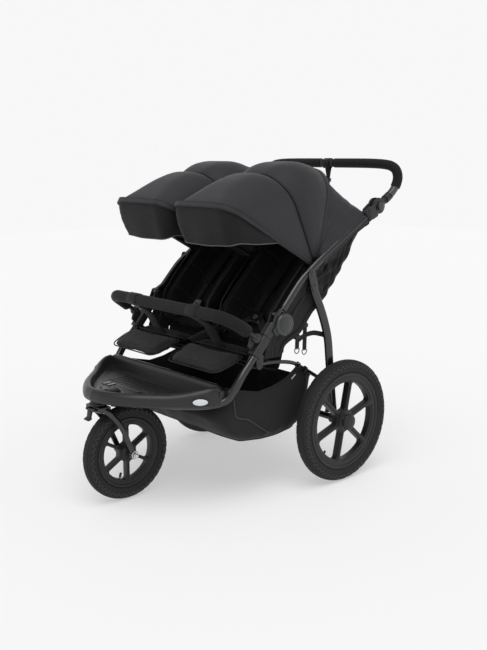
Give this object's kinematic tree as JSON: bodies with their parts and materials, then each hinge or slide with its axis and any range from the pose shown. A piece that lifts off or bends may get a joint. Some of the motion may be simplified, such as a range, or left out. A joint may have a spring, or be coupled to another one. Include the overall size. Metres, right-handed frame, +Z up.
{
  "type": "twin jogging stroller",
  "caption": "Side-by-side twin jogging stroller: three spoked wheels, swivelling front fork, folding frame, two canopied seats, bumper bar, foot tray, basket and tilting push handle.",
  "frame": {"origin": "middle of the footprint box, on the floor", "axes": "+Z up; the stroller rolls forward along -Y; +X is the seated child's left"},
  "size_m": [0.768, 1.0812, 1.053],
  "materials": {
    "frame_metal": "dark anodised, satin",
    "chrome": "polished",
    "steel": "zinc plated",
    "plastic": "fine grained",
    "knob_grey": "satin grey moulding",
    "reflector": "clear prismatic lens",
    "tyre": "moulded tread",
    "rim": "satin black moulding",
    "foam": "closed-cell foam",
    "fabric": "woven polyester",
    "lining": "quilted padding"
  },
  "bodies": {
    "lower_frame": {"lower_tube_left": "frame_metal", "lower_tube_right": "frame_metal", "steering_head": "plastic", "foot_tray": "plastic", "reflector_left": "reflector", "reflector_right": "reflector", "side_bracket_left": "plastic", "side_bracket_right": "plastic", "fold_lock_left": "knob_grey", "fold_lock_right": "knob_grey", "fold_hinge_left": "plastic", "fold_hinge_right": "plastic", "front_cross_tube": "frame_metal", "seat_cushion_left": "lining", "seat_cushion_right": "lining", "basket": "fabric"},
    "upper_frame": {"upper_tube_left": "frame_metal", "upper_tube_right": "frame_metal", "handle_joint_left": "plastic", "handle_joint_right": "plastic", "rear_cross_tube": "frame_metal", "canopy_rear_left": "fabric", "canopy_rear_right": "fabric"},
    "handle": {"handle_tube": "frame_metal", "grip_left": "foam", "grip_right": "foam", "handle_clip": "plastic"},
    "rear_legs": {"rear_leg_left": "frame_metal", "rear_leg_right": "frame_metal", "rear_axle": "steel", "brake_spring_left": "steel", "brake_spring_right": "steel"},
    "foot_brake": {"brake_pedal": "plastic"},
    "fork": {"fork": "frame_metal", "front_axle": "chrome"},
    "swivel_lock": {"swivel_lock": "plastic"},
    "front_wheel": {"front_tyre": "tyre", "front_rim": "rim"},
    "bumper": {"bumper_bar": "plastic", "bumper_foam": "foam"},
    "rear_wheel_left": {"rear_tyre_left": "tyre", "rear_rim_left": "rim", "hub_cap_left": "plastic"},
    "stay_left": {"basket_stay_left": "frame_metal"},
    "tilt_button_left": {"tilt_button_left": "knob_grey"},
    "seat_back_left": {"seat_back_left": "lining"},
    "leg_rest_left": {"leg_rest_left": "fabric"},
    "canopy_mid_left": {"canopy_mid_left": "fabric"},
    "canopy_front_left": {"canopy_front_left": "fabric", "visor_left": "lining"},
    "rear_wheel_right": {"rear_tyre_right": "tyre", "rear_rim_right": "rim", "hub_cap_right": "plastic"},
    "stay_right": {"basket_stay_right": "frame_metal"},
    "tilt_button_right": {"tilt_button_right": "knob_grey"},
    "seat_back_right": {"seat_back_right": "lining"},
    "leg_rest_right": {"leg_rest_right": "fabric"},
    "canopy_mid_right": {"canopy_mid_right": "fabric"},
    "canopy_front_right": {"canopy_front_right": "fabric", "visor_right": "lining"}
  },
  "joints": [
    {"name": "frame_fold", "type": "hinge", "parent": "lower_frame", "child": "upper_frame", "pos_m": [0, -0.0367, 0.588], "axis": [1, 0, 0], "range_deg": [0, 65]},
    {"name": "rear_leg_fold", "type": "hinge", "parent": "upper_frame", "child": "rear_legs", "pos_m": [0, 0.1023, 0.704], "axis": [1, 0, 0], "range_deg": [-33, 2]},
    {"name": "handle_tilt", "type": "hinge", "parent": "upper_frame", "child": "handle", "pos_m": [0, 0.4233, 0.898], "axis": [1, 0, 0], "range_deg": [-45, 25]},
    {"name": "front_swivel", "type": "hinge", "parent": "lower_frame", "child": "fork", "pos_m": [0, -0.4847, 0.312], "axis": [0, 0, 1], "continuous": true},
    {"name": "swivel_lock_flip", "type": "hinge", "parent": "fork", "child": "swivel_lock", "pos_m": [0, -0.5137, 0.312], "axis": [1, 0, 0], "range_deg": [-60, 0]},
    {"name": "front_wheel_spin", "type": "hinge", "parent": "fork", "child": "front_wheel", "pos_m": [0, -0.3897, 0.151], "axis": [1, 0, 0], "continuous": true},
    {"name": "brake_press", "type": "hinge", "parent": "rear_legs", "child": "foot_brake", "pos_m": [0, 0.2353, 0.203], "axis": [1, 0, 0], "range_deg": [-20, 0]},
    {"name": "bumper_swing", "type": "hinge", "parent": "lower_frame", "child": "bumper", "pos_m": [0, -0.1267, 0.5265], "axis": [1, 0, 0], "range_deg": [0, 30]},
    {"name": "rear_wheel_spin_left", "type": "hinge", "parent": "rear_legs", "child": "rear_wheel_left", "pos_m": [0.344, 0.2353, 0.203], "axis": [1, 0, 0], "continuous": true},
    {"name": "stay_fold_left", "type": "hinge", "parent": "lower_frame", "child": "stay_left", "pos_m": [0.308, -0.1147, 0.44], "axis": [1, 0, 0], "range_deg": [-2, 36]},
    {"name": "tilt_button_press_left", "type": "slide", "parent": "upper_frame", "child": "tilt_button_left", "axis": [-1, 0, 0], "range_m": [0, 0.0025], "stiffness_N_per_m": 600},
    {"name": "seat_recline_left", "type": "hinge", "parent": "upper_frame", "child": "seat_back_left", "pos_m": [0.156, -0.0107, 0.462], "axis": [1, 0, 0], "range_deg": [-15, 0]},
    {"name": "leg_rest_tilt_left", "type": "hinge", "parent": "lower_frame", "child": "leg_rest_left", "pos_m": [0.156, -0.1407, 0.468], "axis": [1, 0, 0], "range_deg": [-20, 12]},
    {"name": "canopy_mid_fold_left", "type": "hinge", "parent": "upper_frame", "child": "canopy_mid_left", "pos_m": [0.156, 0.1503, 0.715], "axis": [1, 0, 0], "range_deg": [-33, 0]},
    {"name": "canopy_front_fold_left", "type": "hinge", "parent": "canopy_mid_left", "child": "canopy_front_left", "pos_m": [0.156, 0.1503, 0.715], "axis": [1, 0, 0], "range_deg": [-33, 0]},
    {"name": "rear_wheel_spin_right", "type": "hinge", "parent": "rear_legs", "child": "rear_wheel_right", "pos_m": [-0.344, 0.2353, 0.203], "axis": [1, 0, 0], "continuous": true},
    {"name": "stay_fold_right", "type": "hinge", "parent": "lower_frame", "child": "stay_right", "pos_m": [-0.308, -0.1147, 0.44], "axis": [1, 0, 0], "range_deg": [-2, 36]},
    {"name": "tilt_button_press_right", "type": "slide", "parent": "upper_frame", "child": "tilt_button_right", "axis": [1, 0, 0], "range_m": [0, 0.0025], "stiffness_N_per_m": 600},
    {"name": "seat_recline_right", "type": "hinge", "parent": "upper_frame", "child": "seat_back_right", "pos_m": [-0.156, -0.0107, 0.462], "axis": [1, 0, 0], "range_deg": [-15, 0]},
    {"name": "leg_rest_tilt_right", "type": "hinge", "parent": "lower_frame", "child": "leg_rest_right", "pos_m": [-0.156, -0.1407, 0.468], "axis": [1, 0, 0], "range_deg": [-20, 12]},
    {"name": "canopy_mid_fold_right", "type": "hinge", "parent": "upper_frame", "child": "canopy_mid_right", "pos_m": [-0.156, 0.1503, 0.715], "axis": [1, 0, 0], "range_deg": [-33, 0]},
    {"name": "canopy_front_fold_right", "type": "hinge", "parent": "canopy_mid_right", "child": "canopy_front_right", "pos_m": [-0.156, 0.1503, 0.715], "axis": [1, 0, 0], "range_deg": [-33, 0]}
  ],
  "couplings": [
    {"joint": "rear_leg_fold", "follows": "frame_fold", "ratio": -0.47},
    {"joint": "stay_fold_left", "follows": "frame_fold", "ratio": 0.51},
    {"joint": "canopy_front_fold_left", "follows": "canopy_mid_fold_left", "ratio": 1},
    {"joint": "stay_fold_right", "follows": "frame_fold", "ratio": 0.51},
    {"joint": "canopy_front_fold_right", "follows": "canopy_mid_fold_right", "ratio": 1}
  ]
}
